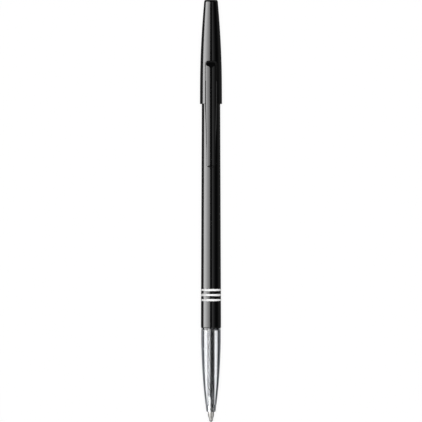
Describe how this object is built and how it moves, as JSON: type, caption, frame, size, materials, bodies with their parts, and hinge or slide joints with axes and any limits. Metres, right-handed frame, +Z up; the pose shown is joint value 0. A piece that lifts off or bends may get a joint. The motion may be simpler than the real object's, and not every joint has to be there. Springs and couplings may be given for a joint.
{
  "type": "ballpoint pen",
  "caption": "Slim stick ballpoint pen with a tapered barrel, a clear nose that shows the refill, and a clip cap pushed onto the rear end.",
  "frame": {"origin": "centre of the lying pen's bounding box, at the level of the table under the cap's rim", "axes": "+X along the pen from the tip to the cap's closed end, +Y across the pen, +Z up through the clip"},
  "size_m": [0.16, 0.0084, 0.01],
  "materials": {
    "black_plastic": "polished black moulded plastic",
    "white_print": "opaque white pad-printed ink, slightly glossy",
    "clear_plastic": "clear moulded plastic with a faint blue-grey edge",
    "plug_plastic": "plain black moulded plastic",
    "refill_plastic": "natural translucent tube",
    "ink": "black ink",
    "nickel_silver": "turned nickel silver",
    "ball_metal": "polished hard metal"
  },
  "bodies": {
    "pen_body": {"barrel": "black_plastic", "print_band_front": "white_print", "print_band_middle": "white_print", "print_band_rear": "white_print", "nose_section": "clear_plastic", "end_plug": "plug_plastic", "refill_tube": "refill_plastic", "ink_column": "ink", "writing_tip": "nickel_silver"},
    "rolling_ball": {"ball": "ball_metal"},
    "cap_body": {"cap": "black_plastic"},
    "clip_strap": {"clip": "black_plastic"}
  },
  "joints": [
    {"name": "ball_roll", "type": "hinge", "parent": "pen_body", "child": "rolling_ball", "pos_m": [-0.0795, 0, 0.00419], "axis": [0, 1, 0], "continuous": true},
    {"name": "cap_pull", "type": "slide", "parent": "pen_body", "child": "cap_body", "axis": [1, 0, 0], "range_m": [0, 0.045]},
    {"name": "clip_flex", "type": "hinge", "parent": "cap_body", "child": "clip_strap", "pos_m": [0.04905, 0, 0.009], "axis": [0, 1, 0], "range_deg": [0, 3], "stiffness_Nm_per_rad": 1}
  ]
}
